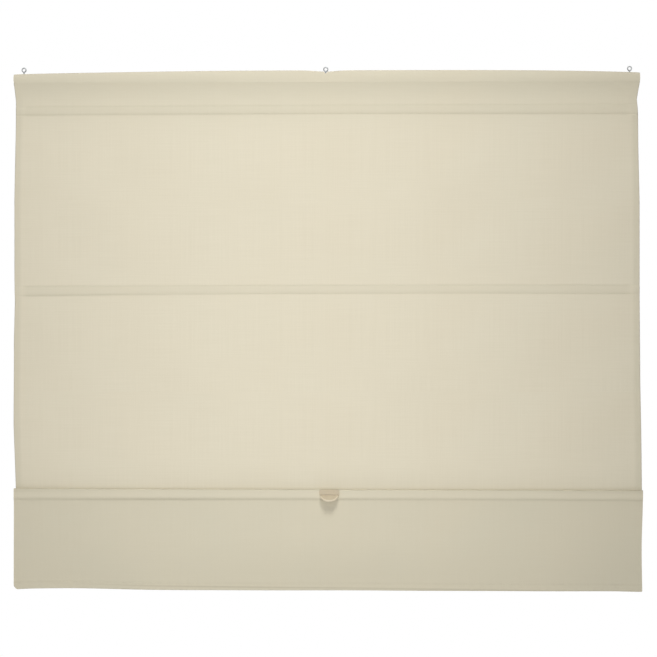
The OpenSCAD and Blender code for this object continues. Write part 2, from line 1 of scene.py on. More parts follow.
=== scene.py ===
import bpy
import bmesh
import math
import numpy as np
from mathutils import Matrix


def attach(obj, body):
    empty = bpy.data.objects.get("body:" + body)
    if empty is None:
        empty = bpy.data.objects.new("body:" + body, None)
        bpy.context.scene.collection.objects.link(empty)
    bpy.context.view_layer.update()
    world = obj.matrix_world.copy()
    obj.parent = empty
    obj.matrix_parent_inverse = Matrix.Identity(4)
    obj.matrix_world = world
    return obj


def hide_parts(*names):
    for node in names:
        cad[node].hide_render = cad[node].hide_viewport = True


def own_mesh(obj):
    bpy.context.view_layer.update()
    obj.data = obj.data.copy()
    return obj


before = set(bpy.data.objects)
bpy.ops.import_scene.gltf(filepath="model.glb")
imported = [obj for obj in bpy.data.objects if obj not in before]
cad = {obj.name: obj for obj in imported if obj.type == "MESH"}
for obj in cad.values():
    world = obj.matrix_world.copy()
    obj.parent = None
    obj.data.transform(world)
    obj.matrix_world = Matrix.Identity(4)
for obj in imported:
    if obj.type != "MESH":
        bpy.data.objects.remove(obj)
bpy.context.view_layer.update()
mm = 0.001

# Headrail
# A roll-formed steel channel, powder coated white before it is cut to length.
# It hangs from the eyes and carries the lift and the head of the cloth.


def linear(code):
    """An sRGB hex colour as the linear colour that a shader takes."""
    parts = [int(code[i:i + 2], 16) / 255 for i in (1, 3, 5)]
    return [p / 12.92 if p <= 0.04045 else ((p + 0.055) / 1.055) ** 2.4 for p in parts] + [1.0]


def add(finish, kind, settings={}, sockets={}):
    """Adds a shader node, sets its properties, and fills or links its sockets. By number, a Mix
    has its share at 0 and its colours at 6 and 7; a Map Range takes 0 from 1 and 2 to 3 and 4."""
    made = finish.node_tree.nodes.new("ShaderNode" + kind)
    for name, value in settings.items():
        setattr(made, name, value)
    for name, value in sockets.items():
        if isinstance(value, bpy.types.NodeSocket):
            finish.node_tree.links.new(value, made.inputs[name])
        else:
            made.inputs[name].default_value = value
    return made


def new_finish(name):
    """An empty material that the nodes of one finish go into."""
    finish = bpy.data.materials.new(name)
    finish.use_nodes = True
    finish.node_tree.nodes.clear()
    return finish


def coat(finish, *names):
    """Gives these CAD nodes that finish."""
    for name in names:
        cad[name].data.materials.clear()
        cad[name].data.materials.append(finish)


# Powder coat: an even white with a faint orange peel of 1.5 mm and a soft gloss.
rail_paint = new_finish("powder_coated_steel")
where = add(rail_paint, "TexCoord").outputs["Object"]
peel = add(rail_paint, "TexNoise", {}, {"Vector": where, "Scale": 1 / (1.5 * mm), "Detail": 2})
cloud = add(rail_paint, "TexNoise", {}, {"Vector": where, "Scale": 1 / (70 * mm), "Detail": 3})
white = add(rail_paint, "Mix", {"data_type": "RGBA"},
            {0: cloud.outputs[0], 6: linear("#E6E5DF"), 7: linear("#F2F1EC")})
gloss = add(rail_paint, "MapRange", {}, {0: cloud.outputs[0], 3: 0.36, 4: 0.5})
bumps = add(rail_paint, "Bump", {}, {
    "Height": peel.outputs[0], "Strength": 0.25, "Distance": 0.1 * mm})
paint = add(rail_paint, "BsdfPrincipled", {}, {
    "Base Color": white.outputs[2], "Roughness": gloss.outputs[0], "Normal": bumps.outputs[0],
    "IOR": 1.5})
add(rail_paint, "OutputMaterial", {}, {"Surface": paint.outputs[0]})
coat(rail_paint, "headrail")

# End caps
# Injection-moulded caps pushed into both ends of the channel until they grip.
# They close the rail where the cloth stops short of its end.

# ABS: white with faint flow clouds, a fine spark texture and a satin surface.
white_moulding = new_finish("moulded_white_abs")
where = add(white_moulding, "TexCoord").outputs["Object"]
flow = add(white_moulding, "TexNoise", {}, {
    "Vector": where, "Scale": 1 / (9 * mm), "Detail": 4, "Distortion": 1.2})
spark = add(white_moulding, "TexNoise", {}, {
    "Vector": where, "Scale": 1 / (0.35 * mm), "Detail": 1})
white = add(white_moulding, "Mix", {"data_type": "RGBA"},
            {0: flow.outputs[0], 6: linear("#E4E2DB"), 7: linear("#F0EEE8")})
gloss = add(white_moulding, "MapRange", {}, {0: flow.outputs[0], 3: 0.4, 4: 0.54})
bumps = add(white_moulding, "Bump", {}, {
    "Height": spark.outputs[0], "Strength": 0.2, "Distance": 0.04 * mm})
plastic = add(white_moulding, "BsdfPrincipled", {}, {
    "Base Color": white.outputs[2], "Roughness": gloss.outputs[0], "Normal": bumps.outputs[0],
    "IOR": 1.53})
add(white_moulding, "OutputMaterial", {}, {"Surface": plastic.outputs[0]})
coat(white_moulding, "end_cap_left", "end_cap_right")

# Hanging eyes and their nuts
# Steel wire bent to an eye with a threaded shank, zinc plated.
# Each goes through the top of the channel and a hex nut holds it from inside.

# Zinc plate: pale grey metal, clouded at 3 mm, with a finer grain in its gloss.
zinc_plate = new_finish("zinc_plated_steel")
where = add(zinc_plate, "TexCoord").outputs["Object"]
cloud = add(zinc_plate, "TexNoise", {}, {"Vector": where, "Scale": 1 / (3 * mm), "Detail": 4})
grain = add(zinc_plate, "TexNoise", {}, {"Vector": where, "Scale": 1 / (0.3 * mm), "Detail": 2})
grey = add(zinc_plate, "Mix", {"data_type": "RGBA"},
           {0: cloud.outputs[0], 6: linear("#7E8081"), 7: linear("#A4A6A6")})
gloss = add(zinc_plate, "MapRange", {}, {0: cloud.outputs[0], 3: 0.36, 4: 0.54})
bumps = add(zinc_plate, "Bump", {}, {
    "Height": grain.outputs[0], "Strength": 0.2, "Distance": 0.03 * mm})
metal = add(zinc_plate, "BsdfPrincipled", {}, {
    "Base Color": grey.outputs[2], "Metallic": 1.0, "Roughness": gloss.outputs[0],
    "Normal": bumps.outputs[0]})
add(zinc_plate, "OutputMaterial", {}, {"Surface": metal.outputs[0]})
coat(zinc_plate, "hanging_eye_left", "hanging_eye_centre", "hanging_eye_right", "eye_nuts")

# Cord spools and their cradles
# Acetal spools wind the lift cords; each turns in a moulded cradle.
# The cradles are snapped over the lips of the channel.

# Acetal: a milkier, smoother and slightly waxy white beside the ABS.
acetal = new_finish("moulded_acetal")
where = add(acetal, "TexCoord").outputs["Object"]
flow = add(acetal, "TexNoise", {}, {"Vector": where, "Scale": 1 / (6 * mm), "Detail": 3})
milk = add(acetal, "Mix", {"data_type": "RGBA"}, {
    0: flow.outputs[0], 6: linear("#DAD9D3"), 7: linear("#EAE9E4")})
gloss = add(acetal, "MapRange", {}, {0: flow.outputs[0], 3: 0.28, 4: 0.4})
bumps = add(acetal, "Bump", {}, {"Height": flow.outputs[0], "Strength": 0.1, "Distance": 0.05 * mm})
plastic = add(acetal, "BsdfPrincipled", {}, {
    "Base Color": milk.outputs[2], "Roughness": gloss.outputs[0], "Normal": bumps.outputs[0],
    "IOR": 1.48})
add(acetal, "OutputMaterial", {}, {"Surface": plastic.outputs[0]})
coat(white_moulding, "spool_cradle_1", "spool_cradle_2", "spool_cradle_3", "spool_cradle_4")
coat(acetal, "cord_spool_1", "cord_spool_2", "cord_spool_3", "cord_spool_4")

# Lift shaft and spring motor
# A drawn hexagonal shaft couples the spools; a box with two drums and a
# wound spring strip turns it, so the cloth stays at any height.

# Drawn steel: bright, with fine die lines along the bar, here along X.
drawn_steel = new_finish("drawn_steel")
where = add(drawn_steel, "TexCoord").outputs["Object"]
along = add(drawn_steel, "Mapping", {}, {
    "Vector": where, "Scale": (1 / (60 * mm), 1 / (0.3 * mm), 1 / (0.3 * mm))})
lines = add(drawn_steel, "TexNoise", {}, {"Vector": along.outputs[0], "Scale": 1.0, "Detail": 3})
steel = add(drawn_steel, "Mix", {"data_type": "RGBA"},
            {0: lines.outputs[0], 6: linear("#97999B"), 7: linear("#BCBEBF")})
gloss = add(drawn_steel, "MapRange", {}, {0: lines.outputs[0], 3: 0.24, 4: 0.42})
bumps = add(drawn_steel, "Bump", {}, {
    "Height": lines.outputs[0], "Strength": 0.15, "Distance": 0.03 * mm})
metal = add(drawn_steel, "BsdfPrincipled", {}, {
    "Base Color": steel.outputs[2], "Metallic": 1.0, "Roughness": gloss.outputs[0],
    "Normal": bumps.outputs[0]})
add(drawn_steel, "OutputMaterial", {}, {"Surface": metal.outputs[0]})
coat(drawn_steel, "lift_shaft", "storage_axle")

# Blued spring steel: dark strip, straw to blue where the tempering heat varied.
spring_steel = new_finish("blued_spring_steel")
where = add(spring_steel, "TexCoord").outputs["Object"]
heat = add(spring_steel, "TexNoise", {}, {"Vector": where, "Scale": 1 / (5 * mm), "Detail": 2})
blue = add(spring_steel, "Mix", {"data_type": "RGBA"},
           {0: heat.outputs[0], 6: linear("#4A5566"), 7: linear("#7B7466")})
gloss = add(spring_steel, "MapRange", {}, {0: heat.outputs[0], 3: 0.22, 4: 0.36})
metal = add(spring_steel, "BsdfPrincipled", {}, {
    "Base Color": blue.outputs[2], "Metallic": 1.0, "Roughness": gloss.outputs[0]})
add(spring_steel, "OutputMaterial", {}, {"Surface": metal.outputs[0]})
coat(spring_steel, "mainspring")
coat(white_moulding, "motor_housing", "motor_cover")
coat(acetal, "output_drum", "storage_drum")

# Grip tapes
# Two woven nylon tapes: the hook tape is stuck along the rail's front and
# the loop tape is sewn to the head of the cloth and pressed onto it.


def make_sheet(name, points, thick, doubled=None, groove=None, closed=False):
    """A cloth piece of that thickness on a grid of points in mm, row by row from its top edge.
    Its two shade values say how much darker its colour is painted: the first as painted shade
    where layers lie on each other or the rail stands behind, the second as painted shade along
    its sewn rows, folds and foot."""
    rows, columns = points.shape[:2]
    order = np.arange(rows * columns).reshape(rows, columns)
    if closed:
        order = np.vstack([order, order[:1]])
    quads = np.stack([order[:-1, :-1], order[1:, :-1], order[1:, 1:], order[:-1, 1:]], -1)
    quads = quads.reshape(-1, 4)
    mesh = bpy.data.meshes.new(name)
    mesh.from_pydata((points * mm).reshape(-1, 3).tolist(), [], quads.tolist())
    for title, values in (("doubled", doubled), ("groove", groove)):
        held = mesh.attributes.new(title, "FLOAT", "POINT")
        values = np.broadcast_to(0 if values is None else values, (rows, columns))
        held.data.foreach_set("value", values.astype(np.float32).ravel())
    looped = np.concatenate([points, points[:1]]) if closed else points
    steps = np.linalg.norm(np.diff(looped, axis=0), axis=2).mean(1)
    down = np.concatenate([[0], np.cumsum(steps)])
    line = np.arange(len(order) - 1)[:, None, None] + np.array([0, 1, 1, 0])
    line = np.broadcast_to(line, (len(order) - 1, columns - 1, 4)).reshape(-1)
    flat = mesh.uv_layers.new(name="flat_cut")
    across = points[:, :, 0].reshape(-1)[quads.reshape(-1)]
    laid_out = np.stack([across, -down[line]], -1) * mm
    flat.data.foreach_set("uv", laid_out.astype(np.float32).ravel())
    piece = bpy.data.objects.new(name, mesh)
    bpy.context.scene.collection.objects.link(piece)
    bpy.ops.object.select_all(action="DESELECT")
    piece.select_set(True)
    bpy.context.view_layer.objects.active = piece
    wall = piece.modifiers.new("cloth_thickness", "SOLIDIFY")
    wall.thickness, wall.offset = thick * mm, 0
    bpy.ops.object.modifier_apply(modifier=wall.name)
    bpy.ops.object.shade_smooth_by_angle(angle=math.radians(50))
    return piece


# Nylon grip tape: off-white, rough with hooks or loops drawn 1.2 mm apart.
grip_tape = new_finish("nylon_grip_tape")
where = add(grip_tape, "TexCoord").outputs["Object"]
pile = add(grip_tape, "TexVoronoi", {}, {"Vector": where, "Scale": 1 / (1.2 * mm)})
fuzz = add(grip_tape, "TexNoise", {}, {"Vector": where, "Scale": 1 / (0.5 * mm), "Detail": 3})
nylon = add(grip_tape, "Mix", {"data_type": "RGBA"}, {
    0: fuzz.outputs[0], 6: linear("#CFCCC3"), 7: linear("#E8E6DF")})
bumps = add(grip_tape, "Bump", {}, {
    "Height": pile.outputs[0], "Strength": 0.6, "Distance": 0.4 * mm})
tuft = add(grip_tape, "MapRange", {}, {0: fuzz.outputs[0], 3: 0.6, 4: 0.85})
nap = add(grip_tape, "BsdfPrincipled", {}, {
    "Base Color": nylon.outputs[2], "Roughness": tuft.outputs[0], "Normal": bumps.outputs[0],
    "IOR": 1.53, "Sheen Weight": 0.3})
add(grip_tape, "OutputMaterial", {}, {"Surface": nap.outputs[0]})

grip_thick, grip_end = 0.9, 595.5
grip_top, grip_foot = -12.4, -25.6
for name, middle in (("hook_tape", -9.5), ("loop_tape", -10.5)):
    x = np.linspace(-grip_end, grip_end, 200)
    ribbon = np.stack([
        np.stack([x, np.full_like(x, middle), np.full_like(x, z) + 0.25 * np.sin(x / 23 + z)], -1)
        for z in np.linspace(grip_top, grip_foot, 6)])
    tape = make_sheet(name + "_woven", ribbon, grip_thick)
    tape.data.materials.append(grip_tape)
    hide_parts(name)
    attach(tape, "headrail_set")

# Shade cloth
# A plain-woven cotton mix, one layer, with its sides and head turned and sewn.
# The head is pressed onto the rail and the cloth falls back below it; strips
# between the sewn rows fold as the bar and the middle slat rise.
cloth_thick = 0.8
half_width = 600
side_turn, turn_gap = 11, 0.85

# Depths of the cloth, then the heights of its rows and fold lines, all in mm.
on_rail, hanging = -12.2, -7.2
rail_edge, fall_length = -26, 34
upper_row_1, upper_row_2, upper_fold = -69, -84, -249
middle_row_1, middle_row_2, lower_fold = -414, -429, -616.5
bar_top = -804
sewn_rows = (upper_row_1, upper_row_2, middle_row_1, middle_row_2)
row_pull = (0.3, 0.7, 0.4, 0.55)
pucker_length = 17

# The slat pockets: their middles, half their height, where they end and how dark they look.
pockets, pocket_shade = (-76.5, -421.5), (0.35, 0.55)
pocket_half, pocket_end = 7.5, 586

# How far each row and fold line has slipped at the left, the middle and the right. The fold
# lines stay straight, so that the two halves of a panel meet there in every pose.
upper_slip, lower_slip = -1.4, -0.9
row_sag = {
    upper_row_1: (-2.2, -0.5, 0.8), upper_row_2: (-4.2, -2.1, -3.6), upper_fold: (upper_slip,) * 3,
    middle_row_1: (-1.8, 0.4, 0.5), middle_row_2: (-5.6, -0.9, -1.6), lower_fold: (lower_slip,) * 3,
    bar_top: (1.5, 0.1, -0.2)}

# The swell of each panel: its top and foot, and the size, length and start of its waves.
swell = ((upper_row_2, middle_row_1, ((1.3, 430, 0.6), (0.7, 187, 2.1))),
         (middle_row_2, bar_top, ((1.2, 520, 2.4), (0.8, 211, 0.3))))


def side_edge(z, side):
    """How far out a side of the cloth lies: it hangs slightly askew and its rows draw it in."""
    if side < 0:
        turns = ((26, 597.3), (60, 593.9), (110, 594.3), (250, 597.2), (400, 597.2), (440, 596.4),
                 (520, 598.6), (680, 598.9), (804, 595.0))
    else:
        turns = ((26, 597.8), (60, 592.5), (84, 594.9), (150, 595.5), (250, 597.9), (440, 598.2),
                 (600, 599.6), (690, 601.6), (804, 602.9))
    return float(np.interp(-z, *zip(*turns)))


def sag(x, z):
    """How far the cloth has slipped up or down at x; its sewn rows and fold lines say how far at
    the left, the middle and the right."""
    rows = [-row for row in row_sag]
    left, middle, right = (np.interp(-z, rows, ends) for ends in zip(*row_sag.values()))
    share = x / half_width
    slip = middle + share * (right - left) / 2 + share ** 2 * ((left + right) / 2 - middle)
    return slip * np.minimum(1, (rail_edge - z) / 40)


def cloth_middle(x, z):
    """Where the middle of the cloth lies in depth, with its fall, swells, pockets and puckers."""
    fall = np.clip((rail_edge - z) / fall_length, 0, 1)
    y = hanging + (on_rail - hanging) * (1 - fall) ** 2
    for top, bottom, waves in swell:
        share = np.clip((top - z) / (top - bottom), 0, 1)
        y = y + np.sin(2 * math.pi * share) * np.sin(math.pi * share) ** 2 * sum(
            size * np.sin(2 * math.pi * x / length + start) for size, length, start in waves)
    for centre in pockets:
        y = y - 0.7 * np.clip(1 - ((z - centre) / pocket_half) ** 2, 0, 1)
    for row, pull in zip(sewn_rows, row_pull):
        pucker = np.sin(2 * math.pi * x / pucker_length + 1.6 * np.sin(x / 53 + row))
        dent = 0.3 * np.exp(-((z - row) / 1.6) ** 2)
        y = y + pull * (dent + 0.13 * np.exp(-abs(z - row) / 6) * pucker)
    return y


def cloth_rows(heights):
    """The grid of a strip at those heights, with its turned sides, and its painted shade: where
    layers lie on each other, below the rail, along its sewn rows and above the flap.
    """
    inward = np.array([side_turn, 7, 3, 0.9, 0.25, 0, 0.25, 0.9, 3, 7, side_turn])
    behind = np.array([1, 1, 1, 1, 0.85, 0.5, 0.15, 0, 0, 0, 0]) * turn_gap
    points, doubled, groove = [], [], []
    for z in heights:
        left, right = side_edge(z, -1), side_edge(z, 1)
        inner = np.linspace(side_turn - left, right - side_turn, 291)[1:-1]
        x = np.concatenate([inward - left, inner, (right - inward)[::-1]])
        back = np.concatenate([behind, np.zeros_like(inner), behind[::-1]])
        points.append(np.stack([x, cloth_middle(x, z) + back, z + sag(x, z)], -1))
        hem = np.clip((np.maximum(-x - left, x - right) + side_turn + 1.5) / 3, 0, 1)
        pocket = max(dark * np.clip((pocket_half + 1 - abs(z - centre)) / 2, 0, 1)
                     for centre, dark in zip(pockets, pocket_shade))
        along = np.clip((pocket_end - abs(x)) / 14, 0, 1)
        # Painted shade: darker just below the rail, which stands behind the cloth there.
        rail_shade = math.exp(-((z - rail_edge) / 62) ** 2)
        doubled.append(np.maximum(0.7 * hem, pocket * along) + rail_shade)
        # Painted shade along each sewn row, stronger in some places than in others, and above the
        # flap's top.
        shade_amount = sum(pull * math.exp(-((z - row) / 1.9) ** 2)
                     for row, pull in zip(sewn_rows, row_pull))
        shade_strength = 0.45 + 0.6 * np.exp(-((x + 560) / 260) ** 2) if z < -420 else 0.75
        uneven = shade_strength + 0.15 * np.sin(x / 83 + z / 40)
        near_flap = max(0, (bar_top + 60 - z) / 60) ** 2 * (z > bar_top - 2)
        shade = 0.45 * np.exp(-((z - bar_top) / (2.4 + 2.6 * (x / half_width) ** 4)) ** 2)
        shade = shade + near_flap * (0.3 + 0.2 * np.exp(-(x / 300) ** 2))
        groove.append(shade_amount * along * uneven + shade)
    return np.array(points), np.array(doubled), np.array(groove)


# Cotton mix: warm beige, painted darker where a second layer stops the light coming through
# and where the rail stands behind, and painted with shade along its rows, folds and foot;
# with threads drawn 1.4 mm apart, coarser than the real 0.5 mm so that they show, and faint
# slubs along both yarns. A wave of scale one_wave repeats once in a metre.
one_wave = 0.31416
cotton = new_finish("plain_woven_cotton")
flat = add(cotton, "UVMap", {"uv_map": "flat_cut"}).outputs["UV"]
weft = add(cotton, "TexWave", {"bands_direction": "X"}, {
    "Vector": flat, "Scale": one_wave / (1.4 * mm), "Distortion": 0.4, "Detail": 1})
warp = add(cotton, "TexWave", {"bands_direction": "Y"}, {
    "Vector": flat, "Scale": one_wave / (1.4 * mm), "Distortion": 0.4, "Detail": 1})
threads = add(cotton, "Math", {"operation": "MULTIPLY"}, {0: weft.outputs[1], 1: warp.outputs[1]})
thick_weft = add(cotton, "Mapping", {}, {
    "Vector": flat, "Scale": (1 / (90 * mm), 1 / (2.2 * mm), 1)})
slub_weft = add(cotton, "TexNoise", {}, {
    "Vector": thick_weft.outputs[0], "Scale": 1.0, "Detail": 2})
thick_warp = add(cotton, "Mapping", {}, {
    "Vector": flat, "Scale": (1 / (2.2 * mm), 1 / (140 * mm), 1)})
slub_warp = add(cotton, "TexNoise", {}, {
    "Vector": thick_warp.outputs[0], "Scale": 1.0, "Detail": 2})
slubs = add(cotton, "Math", {"operation": "ADD"}, {
    0: slub_weft.outputs[0], 1: slub_warp.outputs[0]})
patch = add(cotton, "TexNoise", {}, {"Vector": flat, "Scale": 1 / (160 * mm), "Detail": 2})
less_backlight = add(cotton, "Attribute", {"attribute_name": "doubled"})
shade_amount = add(cotton, "Attribute", {"attribute_name": "groove"})
tone = add(cotton, "Mix", {"data_type": "RGBA"},
           {0: less_backlight.outputs["Fac"], 6: linear("#E7DFC9"), 7: linear("#DBD4BE")})
streak = add(cotton, "MapRange", {}, {0: slubs.outputs[0], 1: 0.7, 2: 1.3, 3: 0.0, 4: 0.18})
slubbed = add(cotton, "Mix", {"data_type": "RGBA"},
              {0: streak.outputs[0], 6: tone.outputs[2], 7: linear("#D3CAB0")})
warmth = add(cotton, "MapRange", {}, {0: patch.outputs[0], 1: 0.35, 2: 0.7, 3: 0.0, 4: 0.16})
patched = add(cotton, "Mix", {"data_type": "RGBA"},
              {0: warmth.outputs[0], 6: slubbed.outputs[2], 7: linear("#E3D6BC")})
# The painted shade darkens the colour towards a deeper beige.
depth = add(cotton, "Math", {"operation": "MULTIPLY", "use_clamp": True}, {
    0: shade_amount.outputs["Fac"], 1: 0.5})
shaded = add(cotton, "Mix", {"data_type": "RGBA"},
             {0: depth.outputs[0], 6: patched.outputs[2], 7: linear("#BDB59E")})
weave = add(cotton, "Math", {"operation": "MULTIPLY_ADD"}, {
    0: slubs.outputs[0], 1: 0.5, 2: threads.outputs[0]})
bumps = add(cotton, "Bump", {}, {
    "Height": weave.outputs[0], "Strength": 0.35, "Distance": 0.15 * mm})
dry = add(cotton, "MapRange", {}, {0: slubs.outputs[0], 1: 0.6, 2: 1.4, 3: 0.82, 4: 0.95})
fabric = add(cotton, "BsdfPrincipled", {}, {
    "Base Color": shaded.outputs[2], "Roughness": dry.outputs[0], "Normal": bumps.outputs[0],
    "IOR": 1.45, "Specular IOR Level": 0.2, "Sheen Weight": 0.08, "Sheen Roughness": 0.5})
add(cotton, "OutputMaterial", {}, {"Surface": fabric.outputs[0]})


def hang_cloth(piece, body):
    """Gives a strip its cloth and lets it stand for the shade cloth on that body."""
    piece.data.materials.append(cotton)
    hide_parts("shade_cloth")
    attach(piece, body)


# The head: a back layer up from the tape, turned over the top, and the front layer down.
# It is arched between the eyes, drawn down at the middle one and notched for its shank.
head_back, head_turn = -11.4, -11.8
head_ends = (-side_edge(rail_edge, -1), side_edge(rail_edge, 1))
share = np.unique(np.concatenate([np.linspace(-1, 1, 301), np.linspace(-8, 8, 33) / half_width]))
out = share * half_width
top_edge = -9.0 + 5.5 * (1 - share ** 4) - 2.4 * np.exp(-(out / 26) ** 2)
top_edge = top_edge - 3.0 * np.exp(-(out / 2.6) ** 4) - 1.6 * np.exp(-((out + 430) / 190) ** 2)
top_edge = top_edge - 0.5 * np.clip((abs(out) - 594) / 6, 0, 1) ** 2 - cloth_thick / 2
head_section = [(up, head_back) for up in (0, 0.25, 0.5, 0.75, 0.93, 0.985)] + [(1, head_turn)]
head_section += [(up, on_rail) for up in (
    0.985, 0.95, 0.88, 0.78, 0.66, 0.54, 0.42, 0.3, 0.2, 0.1, 0.04, 0)]
head, head_shade = [], []
for up, y in head_section:
    z = rail_edge + up * (top_edge - rail_edge)
    bulge = math.sin(math.pi * up)
    x = np.interp(share, (-1, 1), head_ends) * (1 + 0.001 * bulge)
    loose = 1.1 * bulge * (1 - np.exp(-(x / 70) ** 2)) * (0.7 + 0.3 * np.sin(x / 61))
    front = loose if y == on_rail else 0
    head.append(np.stack([x, y - front + np.zeros_like(x), z], -1))
    # Painted shade: the head is darker than a single layer, and darker still towards its lower
    # edge.
    head_shade.append(np.full_like(x, 1.1 - 0.5 * up))
shade_head = make_sheet("shade_head", np.array(head), cloth_thick, np.array(head_shade))
hang_cloth(shade_head, "headrail_set")

below_rail = np.concatenate([
    np.linspace(rail_edge, -60, 14), np.arange(-62, -83.5, -1.1), [upper_row_2]])
points, doubled, groove = cloth_rows(below_rail)
shade_fall = make_sheet("shade_fall", points, cloth_thick, doubled, groove)
hang_cloth(shade_fall, "headrail_set")

# The strips between the rows fold forward on the real blind; here each is cut at its fold line
# into two half panels, each on the body of its own sewn row, and the halves meet at the fold.
half_panels = (("upper_panel_top", upper_row_2, upper_fold, "headrail_set"),
               ("upper_panel_foot", middle_row_1, upper_fold, "middle_set"),
               ("lower_panel_top", middle_row_2, lower_fold, "middle_set"),
               ("lower_panel_foot", bar_top, lower_fold, "bar_set"))


def fold_up(piece):
    """Gives a piece of a half panel its own copy of its mesh."""
    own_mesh(piece)


beside_row = np.array([0, 1.1, 2.2, 3.3, 4.4, 5.5, 7, 9])
for name, row, middle, body in half_panels:
    span = abs(row - middle)
    away = np.concatenate([beside_row, np.linspace(14, span, 28)])
    heights = row - away if middle < row else (row + away)[::-1]
    points, doubled, groove = cloth_rows(heights)
    strip = make_sheet("shade_" + name, points, cloth_thick, doubled, groove)
    hang_cloth(strip, body)
    fold_up(strip)

# The bands round the middle slat and behind the bar don't fold; cut is their flat height.
band_foot = -825.5
bands = (("middle_pocket", middle_row_1, middle_row_2, 17.6, "middle_set", "middle_slat"),
         ("bar_band", bar_top, band_foot, 22.3, "bar_set", "bottom_bar"))
for name, top, bottom, cut, body, inside in bands:
    points, doubled, groove = cloth_rows(np.linspace(top, bottom, 15))
    band = make_sheet("shade_" + name, points, cloth_thick, doubled, groove)
    hang_cloth(band, body)

# Slats, their tips and the pocket tapes
# Extruded slats with moulded tips lie in tunnels that woven tapes make
# on the back of the cloth; each tape is sewn along both edges.
tape_thick, tape_end = 0.5, 581.5

# Cotton tape: a paler, tighter weave than the cloth, with ribs 0.9 mm apart along its length.
tape_weave = new_finish("woven_cotton_tape")
flat = add(tape_weave, "UVMap", {"uv_map": "flat_cut"}).outputs["UV"]
ribs = add(tape_weave, "TexWave", {"bands_direction": "X"}, {
    "Vector": flat, "Scale": one_wave / (0.9 * mm), "Distortion": 0.5, "Detail": 1})
picks = add(tape_weave, "TexWave", {"bands_direction": "Y"}, {
    "Vector": flat, "Scale": one_wave / (1.3 * mm), "Distortion": 0.5, "Detail": 1})
cross = add(tape_weave, "Math", {"operation": "MULTIPLY"}, {
    0: ribs.outputs[1], 1: picks.outputs[1]})
wear = add(tape_weave, "TexNoise", {}, {"Vector": flat, "Scale": 1 / (25 * mm), "Detail": 3})
ecru = add(tape_weave, "Mix", {"data_type": "RGBA"}, {
    0: wear.outputs[0], 6: linear("#DDD5BF"), 7: linear("#EAE3D1")})
bumps = add(tape_weave, "Bump", {}, {
    "Height": cross.outputs[0], "Strength": 0.4, "Distance": 0.15 * mm})
dry = add(tape_weave, "MapRange", {}, {0: wear.outputs[0], 3: 0.8, 4: 0.93})
webbing = add(tape_weave, "BsdfPrincipled", {}, {
    "Base Color": ecru.outputs[2], "Roughness": dry.outputs[0], "Normal": bumps.outputs[0],
    "IOR": 1.45, "Specular IOR Level": 0.2})
add(tape_weave, "OutputMaterial", {}, {"Surface": webbing.outputs[0]})

half_section = ((9.4, -6.55), (8.2, -6.55), (7.4, -6.45), (6.9, -5.9), (6.5, -5.0), (6.1, -4.1),
                (5.4, -3.45), (3.5, -3.3))
tape_section = half_section + ((0, -3.27),) + tuple((-z, y) for z, y in half_section[::-1])
for name, centre, body in (("upper_pocket_tape", pockets[0], "headrail_set"),
                           ("middle_pocket_tape", pockets[1], "middle_set")):
    x = np.linspace(-tape_end, tape_end, 240)
    tunnel = []
    for z, y in tape_section:
        ripple = 0.05 * np.sin(x / 9 + z) * (y > -6.5)
        tunnel.append(np.stack([x, y + ripple, centre + z + sag(x, centre + z)], -1))
    tape = make_sheet(name + "_woven", np.array(tunnel), tape_thick)
    tape.data.materials.append(tape_weave)
    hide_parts(name)
    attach(tape, body)

coat(white_moulding, "upper_slat_tips", "middle_slat_tips")
coat(white_moulding, "upper_cord_guides", "middle_cord_guides")

# Extruded PVC: white, with faint draw lines along the slat.
extruded_pvc = new_finish("extruded_pvc")
where = add(extruded_pvc, "TexCoord").outputs["Object"]
along = add(extruded_pvc, "Mapping", {}, {
    "Vector": where, "Scale": (1 / (80 * mm), 1 / (0.6 * mm), 1 / (0.6 * mm))})
lines = add(extruded_pvc, "TexNoise", {}, {"Vector": along.outputs[0], "Scale": 1.0, "Detail": 2})
white = add(extruded_pvc, "Mix", {"data_type": "RGBA"}, {
    0: lines.outputs[0], 6: linear("#E3E2DC"), 7: linear("#EFEEEA")})
bumps = add(extruded_pvc, "Bump", {}, {
    "Height": lines.outputs[0], "Strength": 0.15, "Distance": 0.05 * mm})
gloss = add(extruded_pvc, "MapRange", {}, {0: lines.outputs[0], 3: 0.35, 4: 0.5})
plastic = add(extruded_pvc, "BsdfPrincipled", {}, {
    "Base Color": white.outputs[2], "Roughness": gloss.outputs[0], "Normal": bumps.outputs[0],
    "IOR": 1.53})
add(extruded_pvc, "OutputMaterial", {}, {"Surface": plastic.outputs[0]})
coat(extruded_pvc, "upper_slat", "middle_slat")

# Bottom bar, its caps and the cord anchors
# A flat steel bar, powder coated and capped, gives the cloth its weight.
# Moulded anchors on its back take the ends of the lift cords.
coat(rail_paint, "bottom_bar")
coat(white_moulding, "bar_end_cap_left", "bar_end_cap_right", "cord_anchors")

# Flap
# The same cloth, doubled: it folds over the bar, is sewn below it to the shade
# cloth, and hangs loose down to a turned hem.
flap_foot, flap_back, foot_turn = -997, -7.98, -8.4
flap_corners = (10, 2.5)
bar_row, hem_row = -825, -983.5


def flap_edge(z, side):
    """How far out a side of the flap lies."""
    lower = (bar_row - z) / (bar_row - flap_foot)
    if side < 0:
        return 598.4 + 1.4 * lower
    return 604.4 - 1.6 * math.sin(math.pi * min(1, max(0, lower)) / 1.05) ** 2


def flap_middle(x, z):
    """How far the loose flap swells out of its plane, more towards its foot."""
    loose = np.clip((bar_row - 4 - z) / 150, 0, 1)
    wave = 1.5 * np.sin(2 * math.pi * x / 610 + 1.1) + 0.8 * np.sin(2 * math.pi * x / 263 + 0.4)
    sewn = 0
    for row in (bar_row, hem_row):
        pucker = np.sin(2 * math.pi * x / pucker_length + 1.4 * np.sin(x / 47 + row))
        sewn = sewn + 0.12 * np.exp(-abs(z - row) / 6) * pucker
    return loose ** 2 * (wave + 1.6) + sewn


